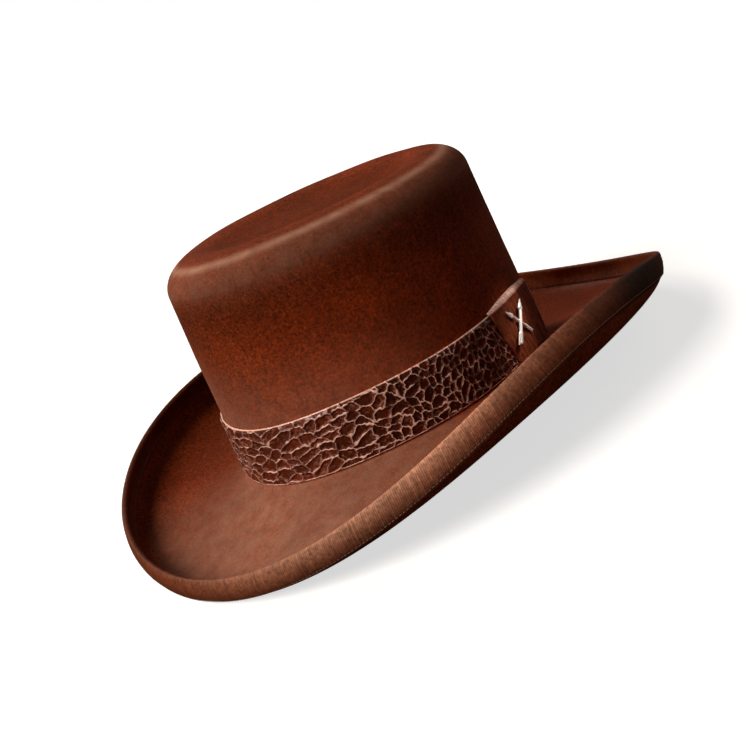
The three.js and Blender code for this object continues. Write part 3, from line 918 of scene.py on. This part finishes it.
# %% [markdown]
# ## Shared effects
# Felt, ribbon, leather and suede are all dyed, and dye never takes evenly: the soft mottle makes
# a number near 1 that wanders over the surface, to multiply a colour by. All of them also have
# a nap of fine hairs or a fine grain, which gives a height for a bump and a few paler flecks.

# %% Soft mottle
mottle, given, put = new_group(
    "soft_mottle", {"Vector": None, "Scale": 20.0, "Contrast": 0.1}, ["Shade"]
)
noise = add_node(mottle, "TexNoise", {
    "Vector": given["Vector"], "Scale": given["Scale"], "Detail": 2.5, "Roughness": 0.55,
})
centred = less(mottle, noise.outputs[0], 0.5)
strength = times(mottle, given["Contrast"], 2.8)
mottle.links.new(scaled(mottle, centred, strength, 1.0), put["Shade"])


def mottled(tree, here, *layers):
    """The product of the soft mottle at several (scale, contrast) pairs."""
    return times(tree, *(
        add_node(
            tree, "Group", {"Vector": here, "Scale": scale, "Contrast": contrast}, node_tree=mottle
        ).outputs["Shade"]
        for scale, contrast in layers
    ))


# %% Fibre nap
nap, given, put = new_group(
    "fibre_nap", {"Vector": None, "Scale": 900.0, "Flecks": 0.1}, ["Height", "Fleck"]
)
fibre = add_node(nap, "TexNoise", {
    "Vector": given["Vector"], "Scale": given["Scale"], "Detail": 3.0, "Roughness": 0.65,
    "Distortion": 0.8,
})
nap.links.new(fibre.outputs[0], put["Height"])
pale = at_least(nap, times(nap, less(nap, fibre.outputs[0], 0.56), 7.0), 0.0)
nap.links.new(times(nap, pale, given["Flecks"]), put["Fleck"])


def napped(tree, here, scale, flecks=0.0):
    """The height and the flecks of the nap, as sockets by name."""
    inputs = {"Vector": here, "Scale": scale, "Flecks": flecks}
    return add_node(tree, "Group", inputs, node_tree=nap).outputs


print("node groups:", [group.name for group in (mottle, nap)])


# %% Colour and bump
def tinted(tree, colour, shade):
    """A colour, or a colour's socket, times a number."""
    value = colour if isinstance(colour, bpy.types.NodeSocket) else colour[:3]
    return add_node(tree, "VectorMath", {0: value, "Scale": shade}, operation="SCALE").outputs[0]


def mixed(tree, factor, first, second):
    """A blend of two colours by a factor."""
    return add_node(tree, "Mix", {0: factor, 6: first, 7: second}, data_type="RGBA").outputs[2]


def bumped(tree, shader, height, distance, strength=1.0):
    """Feeds a height into the shader's normal as a bump of that many millimetres."""
    inputs = {"Height": height, "Distance": distance * MM, "Strength": strength}
    tree.links.new(add_node(tree, "Bump", inputs).outputs[0], shader.inputs["Normal"])


# %% [markdown]
# ## Felt
# Fur felt is a mat of fine hairs, dyed reddish brown. It hardly shines, but its hairs catch light
# at grazing angles, so it gets a little sheen. Its mottling has several scales: soft clouds of
# some centimetres from the blocking, patches of a few millimetres and a grain of about one
# millimetre and a half. The stored painted shading multiplies its colour as painted light and
# shade, and where it is lighter the felt is also smoother. The stored painted highlight mixes in a
# pale highlight colour in patches.

# %% The felt's material
deep_felt, warm_felt = (0.150, 0.0165, 0.0020, 1), (0.200, 0.0300, 0.0055, 1)
# The second colour is the pale colour of the felt's painted highlight, and the third its strongest
# share.
pale_hair, highlight_felt, highlight_peak = (0.30, 0.12, 0.07, 1), (0.50, 0.265, 0.18, 1), 0.52

tree, shader, here = new_material(
    felt_piece, "felt", specular_ior_level=0.07, specular_tint=(1.0, 0.6, 0.4, 1),
    sheen_weight=0.025, sheen_roughness=0.5, sheen_tint=(1.0, 0.5, 0.3, 1),
)
# The stored painted shading multiplies the colour: painted light and shade.
painted_shading = attribute(tree, "painted_shading")
clouds = less(tree, mottled(tree, here, (16.0, 0.5)), 0.5)
grain = mottled(tree, here, (28.0, 0.3), (70.0, 0.15), (260.0, 0.3), (650.0, 0.95))
brown = tinted(tree, mixed(tree, clouds, deep_felt, warm_felt), times(tree, grain, painted_shading))
hairs = napped(tree, here, 1300.0, 0.35)
flecked = mixed(tree, hairs["Fleck"], brown, pale_hair)
# The stored painted highlight mixes in the pale highlight colour in patches.
highlight_amount = times(tree, attribute(tree, "painted_highlight"), mottled(tree, here, (120.0, 0.5)), highlight_peak)
tree.links.new(mixed(tree, highlight_amount, flecked, highlight_felt), shader.inputs["Base Color"])
tree.links.new(scaled(tree, painted_shading, -0.75, 1.43), shader.inputs["Roughness"])
bumped(tree, shader, hairs["Height"], 0.35, 0.6)

# %% [markdown]
# ## Ribbon and thread
# The ribbon's crests are painted paler than its valleys, painted light and shade on the ribs, and no
# two ribs took the dye alike. Its painted shading makes it lighter where the light falls and darker
# at the sides and the tip, and its rim is pale from wear with a painted highlight on its near side.
# All this comes from the attributes that were stored with its points, so the pattern stays on the
# ribs. The thread is the same brown, a little lighter.

# %% The ribbon's material and the thread's
ribbon_brown, lit_rim_ribbon = (0.150, 0.027, 0.006, 1), (0.52, 0.235, 0.145, 1)
thread_brown = (0.24, 0.085, 0.05)

tree, shader, here = new_material(
    ribbon_piece, "ribbon", roughness=0.55, specular_ior_level=0.12,
    specular_tint=(1.0, 0.6, 0.42, 1), sheen_weight=0.02, sheen_roughness=0.4,
    sheen_tint=(1.0, 0.5, 0.3, 1),
)
tone = scaled(tree, attribute(tree, "rib_tone"), 0.09, 1.0)
# Painted light and shade of the ribs: crests lighter than valleys.
raised = scaled(tree, attribute(tree, "rib"), 0.35, 0.72)
shade = mottled(tree, here, (30.0, 0.12), (160.0, 0.25), (600.0, 0.6))
# The stored painted shading adds painted light and shade along the ribbon.
shade = times(tree, shade, tone, raised, attribute(tree, "painted_shading"))
# Pale near the rim: wear with a painted highlight on the rim's near side.
near_rim = at_least(tree, scaled(tree, attribute(tree, "border"), -0.11, 1.0), 0.3)
wear_and_highlight = times(tree, near_rim, attribute(tree, "wear_and_highlight"))
cloth = tinted(tree, mixed(tree, wear_and_highlight, ribbon_brown, lit_rim_ribbon), shade)
tree.links.new(cloth, shader.inputs["Base Color"])
bumped(tree, shader, napped(tree, here, 1500.0)["Height"], 0.2, 0.5)

tree, shader, here = new_material(stitch_piece, "thread", roughness=0.6, specular_ior_level=0.4)
shade = mottled(tree, here, (90.0, 0.25), (900.0, 0.2))
tree.links.new(tinted(tree, thread_brown, shade), shader.inputs["Base Color"])

# %% [markdown]
# ## Leather
# The cells are nearly black-brown. The ridges between them are rubbed down to the pale leather and
# painted paler as a painted highlight, least of all those that stand upright at the front, and the
# cut edges show the pale leather too. Near the wrap, in painted shade, only short stretches are
# pale, the scuffs fade and the cells are darker, as they are towards the band's sides. The
# attributes stored with the points tell how near a ridge is and how strongly it is rubbed and
# painted as highlight. Handling also polishes the ridges, so they get a thin coat, which the cells
# go without.

# %% The leather's material
dark_leather, scuffed_leather = (0.090, 0.0130, 0.0035), (0.40, 0.16, 0.10, 1)
pale_leather, cut_edge = (1.0, 0.66, 0.56, 1), 0.5  # the cut edge is half a millimetre wide

tree, shader, here = new_material(
    band_piece, "leather", specular_ior_level=0.35, specular_tint=(1.0, 0.5, 0.38, 1),
    coat_roughness=0.28, coat_tint=(1.0, 0.85, 0.78, 1),
)
away, ridge_wear_highlight, shaded = (attribute(tree, name) for name in ("ridge", "ridge_wear_highlight", "shaded"))
edge = math_node(tree, "LESS_THAN", attribute(tree, "border"), cut_edge)
patches = mottled(tree, here, (150.0, 1.2))
broken = math_node(tree, "ADD", patches, scaled(tree, shaded, -0.5, -0.4))
broken = at_most(tree, at_least(tree, times(tree, broken, 2.0), 0.0), 1.0)
# Pale ridges: rubbing with painted highlight, fewer in the wrap's painted shade.
amount = at_least(tree, times(tree, broken, ridge_wear_highlight), scaled(tree, shaded, -0.12, 0.22))
reach = scaled(tree, amount, 0.1, 0.05)
line = less(tree, 1.0, at_most(tree, math_node(tree, "DIVIDE", away, reach), 1.0))
line = times(tree, at_most(tree, times(tree, line, 1.6), 1.0), amount)
wear_and_highlight = at_least(tree, line, edge)
# The cell tone carries painted shade towards the band's sides.
cell_shade = scaled(tree, attribute(tree, "cell_tone"), 0.9, 0.55)
shade = times(tree, mottled(tree, here, (60.0, 0.3), (500.0, 0.6)), cell_shade)
# The scuffs fade in the wrap's painted shade.
scuffs = times(tree, napped(tree, here, 420.0, 0.6)["Fleck"], scaled(tree, shaded, -0.6, 1.0))
cells = mixed(tree, scuffs, tinted(tree, dark_leather, shade), scuffed_leather)
tree.links.new(mixed(tree, wear_and_highlight, cells, pale_leather), shader.inputs["Base Color"])
tree.links.new(scaled(tree, wear_and_highlight, 0.1, 0.38), shader.inputs["Roughness"])

# %% The leather's polish and relief
foot = at_most(tree, times(tree, away, 3.0), 1.0)
polish = less(tree, 1.0, math_node(tree, "POWER", foot, 4.0))
tree.links.new(at_least(tree, times(tree, polish, 0.6), edge), shader.inputs["Coat Weight"])
raised = less(tree, 1.0, math_node(tree, "POWER", foot, 2.0))
bumped(tree, shader, scaled(tree, napped(tree, here, 600.0)["Height"], 0.4, raised), 0.6)

# %% [markdown]
# ## Suede
# Suede is leather with its rough side out. It is duller than the felt, with a longer nap that is
# combed upright. Its rolled edge is pale, rubbed suede brightened as painted light, and the crests
# of its folds and of the roll's ribs are painted lighter than their hollows, as painted light and
# shade.

# %% The suede's material
suede_brown, suede_fleck = (0.155, 0.027, 0.008), (0.34, 0.11, 0.06, 1)
# The roll's colour is rubbed suede brightened as painted light.
pale_lit_suede, combing = (1.0, 0.60, 0.50), (1.0, 1.0, 0.3)

tree, shader, here = new_material(
    wrap_piece, "suede", roughness=0.95, specular_ior_level=0.1, sheen_weight=0.04,
    sheen_roughness=0.5, sheen_tint=(1.0, 0.5, 0.3, 1),
)
combed = add_node(tree, "VectorMath", {0: here, 1: combing}, operation="MULTIPLY").outputs[0]
shade = mottled(tree, combed, (90.0, 0.4), (420.0, 0.5), (1100.0, 0.4))
# The stored fold shading lightens crests and darkens hollows, painted light and shade.
shade = times(tree, scaled(tree, attribute(tree, "painted_fold_shading"), 0.3, 0.85), shade)
hairs = napped(tree, combed, 900.0, 0.6)
ground = mixed(tree, hairs["Fleck"], tinted(tree, suede_brown, shade), suede_fleck)
rolled = tinted(tree, pale_lit_suede, shade)
suede = mixed(tree, attribute(tree, "rolled"), ground, rolled)
tree.links.new(suede, shader.inputs["Base Color"])
bumped(tree, shader, hairs["Height"], 0.5, 0.7)

# %% [markdown]
# ## Silver
# The pin is cast silver with a white satin finish, as if fresh from the casting. A pure mirror of a
# metal would show the brown round it, so the metal is mixed with a plain pale surface. Soft noise
# stands for a thin tarnish that polishing has left in places.

# %% The silver's material
bright_silver, tarnished_silver = (0.97, 0.94, 0.91, 1), (0.72, 0.63, 0.57, 1)

tree, shader, here = new_material(pin_piece, "silver", metallic=0.4, specular_ior_level=0.8)
tarnish = times(tree, less(tree, mottled(tree, here, (260.0, 0.6)), 0.7), 0.6)
metal = mixed(tree, tarnish, bright_silver, tarnished_silver)
tree.links.new(metal, shader.inputs["Base Color"])
tree.links.new(scaled(tree, tarnish, 0.2, 0.28), shader.inputs["Roughness"])
bumped(tree, shader, napped(tree, here, 2500.0)["Height"], 0.03, 0.5)
print("materials:", [material.name for material in bpy.data.materials if material.users])

# %% [markdown]
# ## What each piece stands for
# The visual pieces take the place of the imported model's plain ones, which are hidden. The table
# lists each piece with the node it replaces and the slot of the record that its finish belongs to;
# only the node is read. Ribbon, leather strip and suede are cut flat before they go round the hat.
# The felt is blocked from a hood, so it has no flat cut.

# %% Pieces, nodes and slots
for piece, node, slot in (
    (felt_piece, "felt_body", "felt"),
    (ribbon_piece, "edge_binding", "ribbon"),
    (stitch_piece, "edge_binding", "ribbon"),
    (band_piece, "hat_band", "leather"),
    (wrap_piece, "band_wrap", "suede"),
    (pin_piece, "arrow_pin", "silver"),
):
    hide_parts(node)
print("pieces take the place of", sorted(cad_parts))

# %% [markdown]
# ## Floor and light
# The photograph is lit from its upper left by one large soft light, and the side turned away from
# it is nearly black. Sun lamps with wide discs light floor and hat alike, so the floor is even as
# far as the horizon: the key, one for the left edge, and two weak ones that keep the right side
# and the back from going quite black. A small card light beside the wrap brightens the pin. The
# floor looks white to the camera but sends little light back up, which keeps the underside of the
# brim dark, as a black cloth under the hat would in a studio. The world does the same.

# %% The floor
floor_radius, floor_sides = 40, 64
ring = np.linspace(0, 2 * np.pi, floor_sides, endpoint=False)
corners = np.stack([np.cos(ring), np.sin(ring), 0 * ring], -1) * floor_radius
floor_mesh = bpy.data.meshes.new("floor")
floor_mesh.from_pydata(corners, [], [list(range(floor_sides))])
floor = add_object("floor", floor_mesh)
paper = bpy.data.materials.new("paper")
paper.use_nodes = True
tree = paper.node_tree
tree.nodes.clear()
seen = add_node(tree, "LightPath").outputs["Is Camera Ray"]
white = add_node(tree, "BsdfDiffuse", {"Color": (0.6, 0.6, 0.6, 1)})
glow = add_node(tree, "Emission", {"Color": (1, 1, 1, 1), "Strength": 0.66})
shown = add_node(tree, "AddShader", {0: white.outputs[0], 1: glow.outputs[0]})
grey = add_node(tree, "BsdfDiffuse", {"Color": (0.12, 0.10, 0.09, 1)})
both = add_node(tree, "MixShader", {0: seen, 1: grey.outputs[0], 2: shown.outputs[0]})
add_node(tree, "OutputMaterial", {"Surface": both.outputs[0]})
floor_mesh.materials.append(paper)


# %% The lights
def towards(azimuth, elevation):
    """The direction to a light, its azimuth measured from the hat's front to its left."""
    a, e = np.radians([azimuth, elevation])
    return Vector((np.sin(a) * np.cos(e), -np.cos(a) * np.cos(e), np.sin(e)))


def add_lamp(name, kind, location, direction, energy, colour):
    """A lamp at a place, that shines from the side that direction points to."""
    lamp = bpy.data.lights.new(name, kind)
    lamp.energy, lamp.color = energy, colour
    light = add_object(name, lamp)
    light.location = location
    light.rotation_euler = direction.to_track_quat("Z", "Y").to_euler()
    return light


for name, azimuth, elevation, strength, disc, colour in (
    ("key", -9, 39, 3.2, 34, (1.0, 0.93, 0.84)),
    ("edge", -100, 42, 1.15, 30, (1.0, 0.9, 0.78)),
    ("fill", 120, 25, 0.12, 60, (1.0, 0.85, 0.75)),
    ("back", 175, 30, 0.36, 40, (1.0, 0.9, 0.8)),
):
    direction = towards(azimuth, elevation)
    add_lamp(name, "SUN", direction * 2, direction, strength, colour).data.angle = np.radians(disc)
    print(name, "sun from", azimuth, elevation, "degrees, strength", strength)

card_place, pin_place = Vector((0.13, 0.06, 0.1)), Vector((0.09, 0.03, 0.045))
card = add_lamp("card", "AREA", card_place, card_place - pin_place, 0.0024, (1.0, 0.94, 0.86))
card.data.size, card.data.spread = 0.02, np.radians(26)
card.visible_camera = False

# %% The world
glossy_share, dimmest = 0.15, 0.018
world = bpy.data.worlds.new("studio")
bpy.context.scene.world = world
world.use_nodes = True
tree = world.node_tree
tree.nodes.clear()
ray = add_node(tree, "LightPath").outputs
strength = at_least(tree, ray["Is Camera Ray"], times(tree, ray["Is Glossy Ray"], glossy_share))
strength = at_least(tree, strength, dimmest)
sky = add_node(tree, "Background", {"Color": (1, 1, 1, 1), "Strength": strength})
add_node(tree, "OutputWorld", {"Surface": sky.outputs[0]})
bpy.context.scene.view_settings.view_transform = "Standard"
